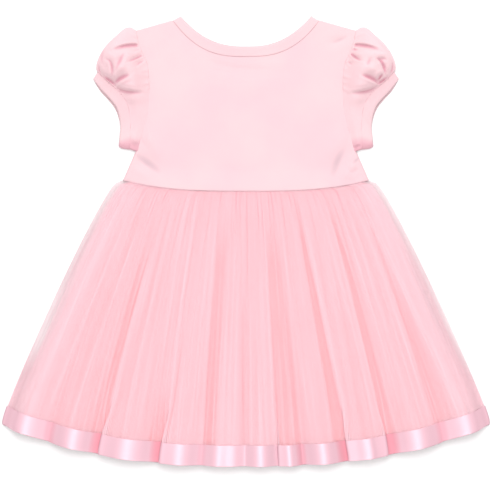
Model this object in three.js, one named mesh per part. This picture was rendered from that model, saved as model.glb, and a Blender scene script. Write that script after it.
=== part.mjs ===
// A toddler's party dress laid out flat on its front, so that its back lies uppermost: a jersey bodice
// with bound neck and gathered puff sleeves, and a gathered net skirt over a plain lining, with a
// satin ribbon round the hem. Millimetres, +Z up, the table at z = 0, +Y towards the neck.
import * as THREE from "three";

const { clamp, lerp, smoothstep } = THREE.MathUtils;

// Cloth walls, and the clearance between pieces at seams and between layers
const JERSEY = 1.4;
const NET = 1.2;
const LINING = 1.0;
const RIBBON = 1.0;
const GAP = 0.3;

// Neck: the bound edge and the seam of its binding are power curves from centre to shoulder
const NECK_EDGE = { half: 71.8, centreY: 214.2, rise: 33.3, power: 2.5 };
const NECK_SEAM = { half: 80.5, centreY: 203.5, rise: 39.7, power: 2.8 };
const FRONT_NECK_DROP = 22;
const SHOULDER_TIP = { x: 121, y: 231.6 };

// Waist seam and hem: curves that are lowest at the centre
const WAIST = { half: 134.8, centreY: 55.5, rise: 11.6, power: 3 };
const HEM = { half: 266, centreY: -246.5, rise: 44.5, power: 2.5 };
const HIP_BULGE = 21.5;
const HIP_BULGE_START = 0.25;

// Half width of the bodice from the waist up the side seam, and from the underarm up the armhole
const BODICE_SIDE = [
  { y: 67.1, half: 134.8 },
  { y: 81, half: 131 },
  { y: 92, half: 127 },
  { y: 100, half: 121.8 },
  { y: 112, half: 117 },
  { y: 127, half: 111.5 },
  { y: 147, half: 108 },
  { y: 176, half: 107 },
  { y: 195, half: 109 },
  { y: 207, half: 114.3 },
  { y: 218, half: 118.4 },
  { y: 231.6, half: 121 },
];
const BODICE_ROWS = 14;
const NECK_COLUMNS = 16;
const SHOULDER_COLUMNS = 4;
const BODICE_FLAT_BEYOND = 0.88;
const WAIST_LIFT = 2.4;
const WAIST_LIFT_REACH = 26;
const CREASE_TAPER = 0.7;

// Soft creases of the upper bodice panel: each runs from one point to another and stands up
const CREASES = [
  { fromX: -124, fromY: 92, toX: -92, toY: 68, width: 7, height: 2.2 },
  { fromX: -112, fromY: 112, toX: -88, toY: 92, width: 9, height: 1.3 },
  { fromX: 124, fromY: 94, toX: 100, toY: 66, width: 7, height: 1.9 },
  { fromX: 112, fromY: 120, toX: 90, toY: 84, width: 10, height: 1.4 },
  { fromX: -70, fromY: 190, toX: 30, toY: 182, width: 12, height: 0.9 },
  { fromX: 104, fromY: 204, toX: 62, toY: 196, width: 9, height: 1.0 },
];

// Sleeve: the cuff's seam and open edge, from the top fold (w = 0) to the underarm (w = 1)
const CUFF = [
  { w: 0, seamX: 163, seamY: 186.5, edgeX: 168, edgeY: 178.6 },
  { w: 0.17, seamX: 154.5, seamY: 177.5, edgeX: 160.8, edgeY: 166.2 },
  { w: 0.34, seamX: 145.8, seamY: 170, edgeX: 152.2, edgeY: 156.6 },
  { w: 0.5, seamX: 137, seamY: 161.5, edgeX: 144.3, edgeY: 146.6 },
  { w: 0.65, seamX: 130.3, seamY: 150, edgeX: 139.8, edgeY: 135 },
  { w: 0.78, seamX: 127.6, seamY: 136, edgeX: 138.2, edgeY: 124 },
  { w: 0.9, seamX: 127, seamY: 118, edgeX: 139.3, edgeY: 112.5 },
  { w: 1, seamX: 127.6, seamY: 103.5, edgeX: 140, edgeY: 102.1 },
];
const UNDERARM_Y = 102;
const ARMHOLE_GAP = 0.4;
const SLEEVE_ROWS = 8;
const CUFF_ROWS = 2;
const CUFF_WIDTH = 10;
const CUFF_LIFT = 2;
const PUFF_OUT = 13.2;
const PUFF_OUT_WAY = { x: 0.716, y: 0.698 };
const PUFF_OUT_FADE = 3;
const PUFF_HEIGHT = 19;
const PUFF_SHOULDER = 0.7;
const SLEEVE_GATHERS = 8;
const SLEEVE_GATHERED = 0.52;
const SLEEVE_GATHER_HEIGHT = 1.8;
const SLEEVE_GATHER_MIDWAY = 0.2;
const STEPS_PER_GATHER = 2;
const SLEEVE_PLAIN_STEPS = 8;
const UNDERSIDE_STEPS = 14;

// Skirt: rows from waist (v = 0) to hem (v = 1), and its gathers across the uppermost net panel
const SKIRT_LENGTH = 302;
const SKIRT_GATHERS = 45;
const GATHER_HEIGHT = 1.7;
const GATHERS_FADE_AT = 0.62;
const RIBBON_WIDTH = 23;
const RIBBON_TOP = 1 - RIBBON_WIDTH / SKIRT_LENGTH;
const STEP_FROM = 0.82;
const STEP_TO = RIBBON_TOP - 0.01;
const LINING_END = 0.955;
const ROWS_TO_RIBBON = [0, 0.025, 0.08, 0.18, 0.32, 0.5, 0.68, STEP_FROM, STEP_TO];
const RIBBON_ROWS = [RIBBON_TOP, (RIBBON_TOP + 1) / 2, 1];
const NET_ROWS = [...ROWS_TO_RIBBON, ...RIBBON_ROWS];
const LINING_ROWS = [...ROWS_TO_RIBBON, LINING_END];
const FLAT_COLUMNS = 20;
const LINING_SHARE = 0.93;
const SIDE_FOLD_FROM = 0.945;

// Folds of the uppermost net panel: the troughs between its swells, placed across the width at the
// waist and at the hem, as shares of the half width; depth is a share of the swells' height
const TROUGHS = [
  { waist: -0.84, hem: -0.81, width: 0.075, depth: 0.6 },
  { waist: -0.58, hem: -0.622, width: 0.045, depth: 1 },
  { waist: -0.35, hem: -0.375, width: 0.05, depth: 1 },
  { waist: -0.14, hem: -0.18, width: 0.055, depth: 0.75 },
  { waist: 0, hem: -0.015, width: 0.035, depth: 0.5 },
  { waist: 0.1, hem: 0.1, width: 0.03, depth: 0.5 },
  { waist: 0.18, hem: 0.22, width: 0.045, depth: 0.8 },
  { waist: 0.34, hem: 0.4, width: 0.05, depth: 1 },
  { waist: 0.6, hem: 0.6, width: 0.045, depth: 1 },
  { waist: 0.81, hem: 0.8, width: 0.075, depth: 0.65 },
];
const SWELL_AT_WAIST = 2.2;
const SWELL_AT_HEM = 7.5;

const FINISH = {
  jersey: { color: 0xfce1e6, roughness: 0.9, metalness: 0 },
  net: { color: 0xfccdd6, roughness: 0.8, metalness: 0 },
  lining: { color: 0xfcbcc6, roughness: 0.6, metalness: 0 },
  satin: { color: 0xf6c3d0, roughness: 0.35, metalness: 0 },
};

// A column of a table, read on a smooth curve where its rising column `by` is `at`.
function read(table, by, name, at) {
  const last = table.length - 1;
  let i = 0;
  while (i < last - 1 && table[i + 1][by] <= at) i += 1;
  const slope = (a, b) => (table[b][name] - table[a][name]) / (table[b][by] - table[a][by]);
  const span = table[i + 1][by] - table[i][by];
  const t = clamp((at - table[i][by]) / span, 0, 1);
  const into = slope(Math.max(i - 1, 0), i + 1) * span;
  const out = slope(i, Math.min(i + 2, last)) * span;
  const from = table[i][name];
  const rise = table[i + 1][name] - from;
  return from + t * (into + t * (3 * rise - 2 * into - out + t * (into + out - 2 * rise)));
}

// Equal steps from one number to another, with both ends.
const steps = (from, to, count) => Array.from({ length: count + 1 }, (_, i) => lerp(from, to, i / count));

// A curve that is lowest at the centre and rises to each side, as y above the given x.
const sagging = (curve, x) => curve.centreY + curve.rise * (Math.abs(x) / curve.half) ** curve.power;

// A closed wall between two grids of points of one size. The columns of a tube close on themselves,
// and a sheet gets rims at its first and last columns. Both get rims at the first and last rows.
function wall(name, finish, outer, inner, isTube) {
  const rows = outer.length;
  const columns = outer[0].length;
  const positions = [...outer, ...inner].flat(2);
  const index = [];
  const at = (side, row, column) => (side * rows + row) * columns + (column % columns);
  const quad = (a, b, c, d) => index.push(a, b, c, a, c, d);
  const across = isTube ? columns : columns - 1;
  for (let r = 0; r < rows - 1; r++) {
    for (let c = 0; c < across; c++) {
      quad(at(0, r, c), at(0, r + 1, c), at(0, r + 1, c + 1), at(0, r, c + 1));
      quad(at(1, r, c + 1), at(1, r + 1, c + 1), at(1, r + 1, c), at(1, r, c));
    }
    if (!isTube) {
      quad(at(0, r, 0), at(1, r, 0), at(1, r + 1, 0), at(0, r + 1, 0));
      quad(at(0, r + 1, columns - 1), at(1, r + 1, columns - 1), at(1, r, columns - 1), at(0, r, columns - 1));
    }
  }
  for (let c = 0; c < across; c++) {
    quad(at(0, 0, c + 1), at(1, 0, c + 1), at(1, 0, c), at(0, 0, c));
    quad(at(0, rows - 1, c), at(1, rows - 1, c), at(1, rows - 1, c + 1), at(0, rows - 1, c + 1));
  }
  const geometry = new THREE.BufferGeometry();
  geometry.setAttribute("position", new THREE.Float32BufferAttribute(positions, 3));
  geometry.setIndex(isFacingOut(positions, index) ? index : index.reverse());
  geometry.computeVertexNormals();
  const mesh = new THREE.Mesh(geometry, new THREE.MeshStandardMaterial(finish));
  mesh.name = name;
  return mesh;
}

function isFacingOut(positions, index) {
  const corner = (i) => new THREE.Vector3().fromArray(positions, 3 * index[i]);
  let volume = 0;
  for (let i = 0; i < index.length; i += 3) {
    volume += corner(i).dot(corner(i + 1).cross(corner(i + 2)));
  }
  return volume > 0;
}

// A panel that lies over others: a wall of even thickness above its underside, which is a height
// over each point of its plan.
function panel(name, finish, thickness, rows, columns, plan, underside) {
  const grid = (extra) =>
    rows.map((v) => columns.map((u) => [...plan(u, v), underside(u, v) + extra]));
  return wall(name, finish, grid(thickness), grid(0), false);
}

// A tube of cloth that lies flat. Each row gives the hollow inside it: a line of points along its
// roof, and on the way back a line of points along its floor, which is level. The roof's wall is as
// thick across its slopes as it is elsewhere.
function flatTube(name, finish, thickness, rows) {
  const roofs = rows.map(({ roof }) => roof);
  const outer = rows.map(({ roof, floor }, r) => [
    ...foldedOver(roof, thickness, (i) => upNormal(roofs, r, i)),
    ...foldedOver(floor, thickness, () => DOWN),
  ]);
  const inner = rows.map(({ roof, floor }) => [...roof, ...floor]);
  return wall(name, finish, outer, inner, true);
}

const DOWN = new THREE.Vector3(0, 0, -1);

// A line of points moved off the hollow by a wall's thickness, with its two ends moved as far along
// the line as well, where the wall folds over.
function foldedOver(line, thickness, normal) {
  const points = line.map((point) => new THREE.Vector3(...point));
  const level = Math.sign(normal(1).z) * thickness;
  return points.map((point, i) => {
    if (i > 0 && i < points.length - 1) return point.clone().addScaledVector(normal(i), thickness).toArray();
    const next = points[i === 0 ? 1 : i - 1];
    const way = new THREE.Vector2(point.x - next.x, point.y - next.y).setLength(thickness);
    return [point.x + way.x, point.y + way.y, point.z + level];
  });
}

// The upward normal at a point of a grid. At the first and last rows it stays in the plane of the seam.
function upNormal(grid, row, column) {
  const at = (r, c) => new THREE.Vector3(...grid[r][c]);
  const along = at(row, column + 1).sub(at(row, column - 1));
  const before = Math.max(row - 1, 0);
  const after = Math.min(row + 1, grid.length - 1);
  const across = at(after, column).sub(at(before, column));
  if (before === row || after === row) across.z = 0;
  const normal = along.cross(across).normalize();
  return normal.z < 0 ? normal.negate() : normal;
}

// Bodice panels: u runs from side to side, -1 to 1, and v from the waist seam to the neck and shoulders
const bodiceEdgeY = (v) => lerp(BODICE_SIDE[0].y, SHOULDER_TIP.y, v);

// The panels' edge is a line through the ends of their rows, which the sleeves are seamed to.
function bodiceHalf(y) {
  const rowHeight = (SHOULDER_TIP.y - BODICE_SIDE[0].y) / BODICE_ROWS;
  const below = BODICE_SIDE[0].y + Math.floor((y - BODICE_SIDE[0].y) / rowHeight) * rowHeight;
  const at = (edgeY) => read(BODICE_SIDE, "y", "half", Math.min(edgeY, SHOULDER_TIP.y));
  return lerp(at(below), at(below + rowHeight), (y - below) / rowHeight);
}

function neckSeam(drop) {
  return { ...NECK_SEAM, centreY: NECK_SEAM.centreY - drop, rise: NECK_SEAM.rise + drop };
}

function neckEdge(drop) {
  return { ...NECK_EDGE, centreY: NECK_EDGE.centreY - drop, rise: NECK_EDGE.rise + drop };
}

function bodiceTop(x, neckDrop) {
  const reach = Math.abs(x);
  if (reach <= NECK_SEAM.half) return sagging(neckSeam(neckDrop), x) - GAP;
  const shoulderShare = (reach - NECK_SEAM.half) / (SHOULDER_TIP.x - NECK_SEAM.half);
  return lerp(NECK_SEAM.centreY + NECK_SEAM.rise - GAP, SHOULDER_TIP.y, shoulderShare);
}

function bodicePlan(neckDrop) {
  return (u, v) => {
    const bottom = sagging(WAIST, u * WAIST.half);
    const top = bodiceTop(u * SHOULDER_TIP.x, neckDrop);
    return [u * bodiceHalf(bodiceEdgeY(v)), lerp(bottom, top, v)];
  };
}

function creaseHeight(x, y) {
  let height = 0;
  for (const crease of CREASES) {
    const [alongX, alongY] = [crease.toX - crease.fromX, crease.toY - crease.fromY];
    const length = Math.hypot(alongX, alongY);
    const [dx, dy] = [x - crease.fromX, y - crease.fromY];
    const along = (dx * alongX + dy * alongY) / length ** 2;
    const off = (dx * alongY - dy * alongX) / length;
    const taper = Math.sin(Math.PI * clamp(along, 0, 1)) ** CREASE_TAPER;
    height += crease.height * taper * Math.exp(-((off / crease.width) ** 2));
  }
  return height;
}

const bodiceColumns = () => {
  const neckShare = NECK_SEAM.half / SHOULDER_TIP.x;
  return [
    ...steps(-1, -neckShare, SHOULDER_COLUMNS),
    ...steps(-neckShare, neckShare, NECK_COLUMNS).slice(1, -1),
    ...steps(neckShare, 1, SHOULDER_COLUMNS),
  ];
};

function makeBodice() {
  const rows = steps(0, 1, BODICE_ROWS);
  const plan = bodicePlan(0);
  const upperUnderside = (u, v) => {
    const [x, y] = plan(u, v);
    const awayFromWaist = y - sagging(WAIST, x);
    const waistLift = WAIST_LIFT * (1 - smoothstep(awayFromWaist, 0, WAIST_LIFT_REACH));
    const awayFromSides = 1 - smoothstep(Math.abs(u), BODICE_FLAT_BEYOND, 1);
    const awayFromTop = 1 - smoothstep(v, BODICE_FLAT_BEYOND, 1);
    return JERSEY + GAP + awayFromSides * (waistLift + awayFromTop * creaseHeight(x, y));
  };
  return [
    panel("bodice_back", FINISH.jersey, JERSEY, rows, bodiceColumns(), plan, upperUnderside),
    panel("bodice_front", FINISH.jersey, JERSEY, rows, bodiceColumns(), bodicePlan(FRONT_NECK_DROP), () => 0),
  ];
}

// The binding goes once round the neck: along the back neckline on top, and back along the front one.
function makeNeckBinding() {
  const across = steps(-1, 1, NECK_COLUMNS);
  const line = (share, drop, z) =>
    across.map((t) => {
      const seam = [t * NECK_SEAM.half, sagging(neckSeam(drop), t * NECK_SEAM.half)];
      const edge = [t * NECK_EDGE.half, sagging(neckEdge(drop), t * NECK_EDGE.half)];
      return [lerp(seam[0], edge[0], share), lerp(seam[1], edge[1], share), z];
    });
  const rows = steps(0, 1, CUFF_ROWS).map((share) => ({
    roof: line(share, 0, JERSEY + GAP),
    floor: line(share, FRONT_NECK_DROP, JERSEY).reverse(),
  }));
  return flatTube("neck_binding", FINISH.jersey, JERSEY, rows);
}

// Sleeve: k runs from the armhole to the cuff's seam, 0 to 1, and w from the top fold to the underarm
function sleevePlan(k, w) {
  const armholeY = lerp(SHOULDER_TIP.y, UNDERARM_Y, w);
  const armholeX = bodiceHalf(armholeY) + ARMHOLE_GAP;
  const out = PUFF_OUT * Math.sqrt(Math.sin(Math.PI * k)) * (1 - w) ** PUFF_OUT_FADE;
  return [
    lerp(armholeX, read(CUFF, "w", "seamX", w), k) + out * PUFF_OUT_WAY.x,
    lerp(armholeY, read(CUFF, "w", "seamY", w), k) + out * PUFF_OUT_WAY.y,
  ];
}

const cuffLift = (w) => CUFF_LIFT * Math.sqrt(Math.max(Math.sin(Math.PI * w), 0));

// Gathers are ridges between the top fold and SLEEVE_GATHERED, strongest at the two seams.
function sleeveGather(k, w) {
  if (w > SLEEVE_GATHERED) return 0;
  const ridge = 0.5 - 0.5 * Math.cos((2 * Math.PI * SLEEVE_GATHERS * w) / SLEEVE_GATHERED);
  const nearSeams = lerp(SLEEVE_GATHER_MIDWAY, 1, Math.abs(2 * k - 1));
  return SLEEVE_GATHER_HEIGHT * ridge * nearSeams;
}

// The puff is fullest near the top fold, and its sides rise steeply from the two seams.
function sleeveHeight(k, w) {
  const fullness = Math.max(Math.sin(Math.PI * Math.sqrt(w)), 0) * Math.sqrt(1 - w);
  const puff = PUFF_HEIGHT * fullness * Math.sin(Math.PI * k) ** PUFF_SHOULDER;
  return puff + k * cuffLift(w) + sleeveGather(k, w);
}

const sleeveSteps = () => [
  ...steps(0, SLEEVE_GATHERED, SLEEVE_GATHERS * STEPS_PER_GATHER),
  ...steps(SLEEVE_GATHERED, 1, SLEEVE_PLAIN_STEPS).slice(1),
];

// One row of a sleeve or cuff: the roof over the hollow inside, and its floor on the way back.
function sleeveRow(side, plan, height) {
  const point = (w, z) => {
    const [x, y] = plan(w);
    return [side * x, y, z];
  };
  return {
    roof: sleeveSteps().map((w) => point(w, JERSEY + GAP + height(w))),
    floor: steps(1, 0, UNDERSIDE_STEPS).map((w) => point(w, JERSEY)),
  };
}

function makeSleeve(name, side) {
  const rows = steps(0, 1, SLEEVE_ROWS).map((k) =>
    sleeveRow(side, (w) => sleevePlan(k, w), (w) => sleeveHeight(k, w)),
  );
  return flatTube(`sleeve_${name}`, FINISH.jersey, JERSEY, rows);
}

// The cuff binding starts a seam's clearance past the end of the sleeve.
function makeCuff(name, side) {
  const plan = (share) => (w) => [
    lerp(read(CUFF, "w", "seamX", w), read(CUFF, "w", "edgeX", w), share),
    lerp(read(CUFF, "w", "seamY", w), read(CUFF, "w", "edgeY", w), share),
  ];
  const rows = steps(GAP / CUFF_WIDTH, 1, CUFF_ROWS).map((share) => sleeveRow(side, plan(share), cuffLift));
  return flatTube(`cuff_${name}`, FINISH.jersey, JERSEY, rows);
}

// Skirt: u runs from side to side, -1 to 1, and v from the waist seam to the hem
function skirtPlan(u, v) {
  const hip = HIP_BULGE * v ** HIP_BULGE_START * Math.sqrt(1 - v);
  const waistY = sagging(WAIST, u * WAIST.half) - GAP;
  return [lerp(WAIST.half * u, HEM.half * u, v) + hip * u, lerp(waistY, sagging(HEM, u * HEM.half), v)];
}

// The ribbon goes under the lowest net panel, which steps up onto it.
const netFrontUnderside = (u, v) => (RIBBON + GAP) * smoothstep(v, STEP_FROM, STEP_TO);
const liningFrontUnderside = (u, v) => netFrontUnderside(u, v) + NET + GAP;
const liningBackUnderside = (u, v) => liningFrontUnderside(u, v) + LINING + GAP;

function swell(u, v) {
  let level = 1;
  for (const trough of TROUGHS) {
    const off = (u - lerp(trough.waist, trough.hem, v)) / trough.width;
    level -= trough.depth * Math.exp(-off * off);
  }
  return lerp(SWELL_AT_WAIST, SWELL_AT_HEM, Math.sqrt(v)) * Math.max(level, 0);
}

function skirtGather(u, v) {
  const ridge = 0.5 - 0.5 * Math.cos(Math.PI * SKIRT_GATHERS * (u + 1));
  return GATHER_HEIGHT * ridge * (1 - smoothstep(v, 0, GATHERS_FADE_AT));
}

// The uppermost net panel comes down beside the lining to the panel it is seamed to.
function netBackUnderside(u, v) {
  const overLining = liningBackUnderside(u, v) + LINING + GAP;
  const overNet = liningFrontUnderside(u, v);
  const down = smoothstep(Math.abs(u), SIDE_FOLD_FROM, 1);
  return lerp(overLining + swell(u, v) + skirtGather(u, v), overNet, down);
}

function makeSkirt() {
  const gathered = steps(-1, 1, SKIRT_GATHERS * STEPS_PER_GATHER);
  const flat = steps(-1, 1, FLAT_COLUMNS);
  const liningPlan = (u, v) => skirtPlan(u * LINING_SHARE, v);
  return [
    panel("net_back", FINISH.net, NET, NET_ROWS, gathered, skirtPlan, netBackUnderside),
    panel("net_front", FINISH.net, NET, NET_ROWS, flat, skirtPlan, netFrontUnderside),
    panel("lining_back", FINISH.lining, LINING, LINING_ROWS, flat, liningPlan, liningBackUnderside),
    panel("lining_front", FINISH.lining, LINING, LINING_ROWS, flat, liningPlan, liningFrontUnderside),
  ];
}

// The ribbon is made from the net's own points at the hem, moved out, and goes on underneath.
function makeRibbon() {
  const point = (u, v, z) => {
    const [x, y] = skirtPlan(u, v);
    return [x + (Math.abs(u) === 1 ? GAP * u : 0), y, z];
  };
  const gathered = steps(-1, 1, SKIRT_GATHERS * STEPS_PER_GATHER);
  const rows = RIBBON_ROWS.map((v) => ({
    roof: gathered.map((u) => point(u, v, netBackUnderside(u, v) + NET + GAP)),
    floor: steps(1, -1, FLAT_COLUMNS).map((u) => point(u, v, RIBBON)),
  }));
  return flatTube("hem_ribbon", FINISH.satin, RIBBON, rows);
}

const dress = new THREE.Group();
dress.add(...makeBodice(), makeNeckBinding(), ...makeSkirt(), makeRibbon());
for (const [name, side] of Object.entries({ left: -1, right: 1 })) {
  dress.add(makeSleeve(name, side), makeCuff(name, side));
}

export default dress;
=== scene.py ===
"""A toddler's party dress laid out flat on a white table, its back uppermost, seen from straight above.

Every length below is in millimetres and becomes metres where a mesh is made. +X is across the dress,
+Y is towards its neck and +Z is up. Every cloth piece is a thin shell on the form of its CAD solid.
"""

import math

import bpy
import numpy as np
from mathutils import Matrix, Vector

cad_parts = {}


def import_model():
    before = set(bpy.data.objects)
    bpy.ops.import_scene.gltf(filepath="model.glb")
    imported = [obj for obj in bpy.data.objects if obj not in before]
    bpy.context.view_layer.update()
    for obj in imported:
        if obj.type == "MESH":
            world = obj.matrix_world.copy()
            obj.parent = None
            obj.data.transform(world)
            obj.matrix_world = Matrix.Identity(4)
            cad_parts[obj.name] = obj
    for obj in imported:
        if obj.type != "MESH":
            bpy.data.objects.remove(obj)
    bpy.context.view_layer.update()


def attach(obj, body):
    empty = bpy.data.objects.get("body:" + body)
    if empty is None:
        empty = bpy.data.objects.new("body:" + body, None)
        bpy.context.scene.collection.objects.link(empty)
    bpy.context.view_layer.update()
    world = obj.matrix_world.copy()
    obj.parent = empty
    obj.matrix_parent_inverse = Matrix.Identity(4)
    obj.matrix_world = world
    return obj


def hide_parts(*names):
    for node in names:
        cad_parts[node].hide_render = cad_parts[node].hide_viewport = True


MM = 0.001

# Cloth layers, as the CAD stacks them from the table up
JERSEY = 1.4
NET = 1.2
LINING = 1.0
RIBBON = 1.0
GAP = 0.3

# Levels of the lowest cloth, the back bodice's seams and its upper face
ABOVE_TABLE = 0.05
SEAM_LEVEL = JERSEY + 0.4
BACK_TOP = 2 * JERSEY + GAP

# Thicknesses of the shells that show
JERSEY_SHELL = 0.7
NET_SHELL = 0.2
LINING_SHELL = 0.3
RIBBON_SHELL = 0.35

# Neck: the bound edge and the seam of its binding are power curves from centre to shoulder
NECK_EDGE = {"half": 71.8, "centre_y": 214.2, "rise": 33.3, "power": 2.5}
NECK_SEAM = {"half": 80.5, "centre_y": 203.5, "rise": 39.7, "power": 2.8}
FRONT_NECK_DROP = 22
SHOULDER_TIP = (121, 231.6)

# Waist seam and hem: curves that are lowest at the centre
WAIST = {"half": 134.8, "centre_y": 55.5, "rise": 11.6, "power": 3}
HEM = {"half": 266, "centre_y": -246.5, "rise": 44.5, "power": 2.5}
HIP_BULGE = 21.5
HIP_BULGE_START = 0.25

# Half width of the bodice from the waist up the side seam, and from the underarm up the armhole
BODICE_SIDE = [
    {"y": 67.1, "half": 134.8},
    {"y": 81, "half": 128.6},
    {"y": 92, "half": 123.8},
    {"y": 100, "half": 120.4},
    {"y": 112, "half": 116.4},
    {"y": 127, "half": 111.5},
    {"y": 147, "half": 108},
    {"y": 176, "half": 107},
    {"y": 195, "half": 109},
    {"y": 207, "half": 114.3},
    {"y": 218, "half": 118.4},
    {"y": 231.6, "half": 121},
]
WAIST_LIFT = 2.2
WAIST_LIFT_REACH = 26

# How much lower cloth is at a seam, as a share, and how far from a seam or edge it is rolled
SEAM_DIP = 0.1
ARMHOLE_DIP = 0.1
WAIST_DIP = 0.04
SEAM_ROLL = 1.2
WAIST_ROLL = 3
SIDE_ROLL = 2.2
ARMHOLE_ROLL = 2.5
BINDING_ROLL = 2.4
END_ROLL = 1.8
CUFF_SEAM_ROLL = 1.5
CUFF_END_ROLL = 5
BINDING_WIDTH = 10.5
TUCK = 0.5

# A crease's form, the depths at which its painted shade (a darker, pinker colour in the fold) starts
# and is full, and the share of painted shade beside a seam
CREASE_SHARPNESS = 1.5
CREASE_SHOULDER = {"height": 0.25, "at": 2.2}
FOLD_NARROWNESS = 1.8
FOLD_START = 0.7
FLAT_FOLD_DEPTH = 1.9
BUNCHED_FOLD_DEPTH = 3.0
SEAM_SHADE = 0.06
SEAM_SHADE_WIDTH = 1.3

# Creases in the jersey: lines that the cloth dips into (below 0) or rises along (above 0)
BODICE_CREASES = [
    {"path": [(-123, 97), (-110, 87), (-90, 73)], "left": 9, "right": 6, "height": -1.6},
    {"path": [(-126, 82), (-115, 76), (-104, 69)], "left": 6, "right": 7, "height": 1.4},
    {"path": [(-117, 123), (-113, 110), (-107, 100)], "left": 4, "right": 4, "height": -1.0},
    {"path": [(-112, 120), (-104, 108), (-96, 92)], "left": 9, "right": 9, "height": 1.3},
    {"path": [(126, 96), (118, 84), (104, 66)], "left": 6, "right": 5, "height": 2.0},
    {"path": [(125, 94), (121, 89), (116, 85)], "left": 2.8, "right": 2.8, "height": -1.6},
    {"path": [(110, 104), (101, 88), (94, 66)], "left": 6, "right": 9, "height": -1.5},
    {"path": [(126, 84), (116, 76), (111, 84)], "left": 2.5, "right": 2.5, "height": -0.9},
    {"path": [(113, 122), (103, 108), (92, 90)], "left": 9, "right": 9, "height": 1.3},
    {"path": [(112, 227), (104, 222), (91, 217)], "left": 4, "right": 4, "height": -1.3},
    {"path": [(-46, 200), (-10, 191), (28, 190)], "left": 5, "right": 5, "height": -0.75},
    {"path": [(-40, 190), (0, 182), (42, 186)], "left": 6, "right": 6, "height": -0.6},
    {"path": [(-90, 222), (-97, 208), (-92, 196)], "left": 9, "right": 9, "height": -0.7},
]
LEFT_SLEEVE_CREASES = [
    {"path": [(-115, 216), (-129.8, 215), (-145, 209.5)], "left": 4.0, "right": 1.0, "height": -3.6},
    {"path": [(-114, 211.5), (-119, 210.6), (-124, 210.4)], "left": 1.8, "right": 1.1, "height": -1.4},
    {"path": [(-112.5, 205), (-121, 199.7), (-129.5, 195.4)], "left": 0.8, "right": 2.2, "height": -3.0},
    {"path": [(-112, 198.5), (-117, 195), (-120, 191.5)], "left": 1.1, "right": 2.4, "height": -2.1},
    {"path": [(-133, 205), (-137.5, 196), (-142, 186)], "left": 2.2, "right": 3.3, "height": -2.5},
    {"path": [(-155, 212), (-158, 202), (-156, 192)], "left": 3.7, "right": 2.6, "height": -1.8},
    {"path": [(-153, 199), (-147, 193), (-146.8, 179)], "left": 3.1, "right": 1.4, "height": -2.7},
    {"path": [(-160.6, 194), (-161, 188.7), (-159, 181)], "left": 1.8, "right": 2.2, "height": -2.4},
    {"path": [(-158, 180), (-151, 177), (-142.5, 171)], "left": 3.4, "right": 2.4, "height": -3.8},
    {"path": [(-143.4, 173), (-136, 178), (-127, 181.6)], "left": 4.0, "right": 2.4, "height": -3.8},
    {"path": [(-138, 171), (-131, 174), (-124, 175)], "left": 1.8, "right": 2.9, "height": -1.4},
    {"path": [(-141, 169), (-131, 164.4), (-113, 163.4)], "left": 1.4, "right": 3.7, "height": -2.8},
    {"path": [(-143, 188), (-137, 190), (-130, 189)], "left": 4.0, "right": 4.0, "height": 1.7},
    {"path": [(-137, 172), (-128, 171), (-118, 169)], "left": 3.6, "right": 3.6, "height": 1.2},
    {"path": [(-131, 105), (-126, 105.4), (-121, 102)], "left": 2.9, "right": 1.3, "height": -4.2},
    {"path": [(-133, 104), (-127, 103), (-122, 101)], "left": 1.3, "right": 2.2, "height": -1.9},
]
RIGHT_SLEEVE_CREASES = [
    {"path": [(114.5, 216), (129, 215.3), (146, 209)], "left": 1.0, "right": 4.0, "height": -3.6},
    {"path": [(114, 212), (119.6, 210.8), (124, 210.4)], "left": 1.1, "right": 2.6, "height": -2.6},
    {"path": [(113, 209), (118.5, 202.5), (126, 197)], "left": 2.6, "right": 1.0, "height": -4.0},
    {"path": [(112, 198), (114, 195.4), (117, 193)], "left": 2.2, "right": 1.1, "height": -1.8},
    {"path": [(135.5, 200), (134, 196), (131.5, 191)], "left": 2.9, "right": 2.9, "height": -1.9},
    {"path": [(143, 199), (148, 195), (152.5, 182.5)], "left": 3.3, "right": 1.4, "height": -4.0},
    {"path": [(144, 197), (150, 199.4), (155, 197)], "left": 2.2, "right": 2.2, "height": -2.0},
    {"path": [(160, 196), (160.5, 190), (158, 183)], "left": 2.0, "right": 2.4, "height": -2.6},
    {"path": [(158, 180), (151, 176.5), (142.5, 171.5)], "left": 2.4, "right": 3.4, "height": -3.4},
    {"path": [(144.6, 173.6), (136, 178), (126, 181.6)], "left": 1.6, "right": 4.6, "height": -4.0},
    {"path": [(144.6, 176), (147, 180), (150, 183)], "left": 2.0, "right": 1.5, "height": -3.8},
    {"path": [(142, 169.4), (132, 164.8), (115, 162.6)], "left": 3.7, "right": 1.4, "height": -2.8},
    {"path": [(131, 190), (138, 188), (143, 187)], "left": 4.0, "right": 4.0, "height": 1.6},
    {"path": [(118, 169.4), (128, 171), (138, 171)], "left": 3.4, "right": 3.4, "height": 1.2},
    {"path": [(119, 102), (125, 104.6), (132, 104)], "left": 1.3, "right": 2.9, "height": -4.2},
    {"path": [(122, 101), (127, 103), (133, 104)], "left": 1.3, "right": 2.2, "height": -1.9},
]

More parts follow.
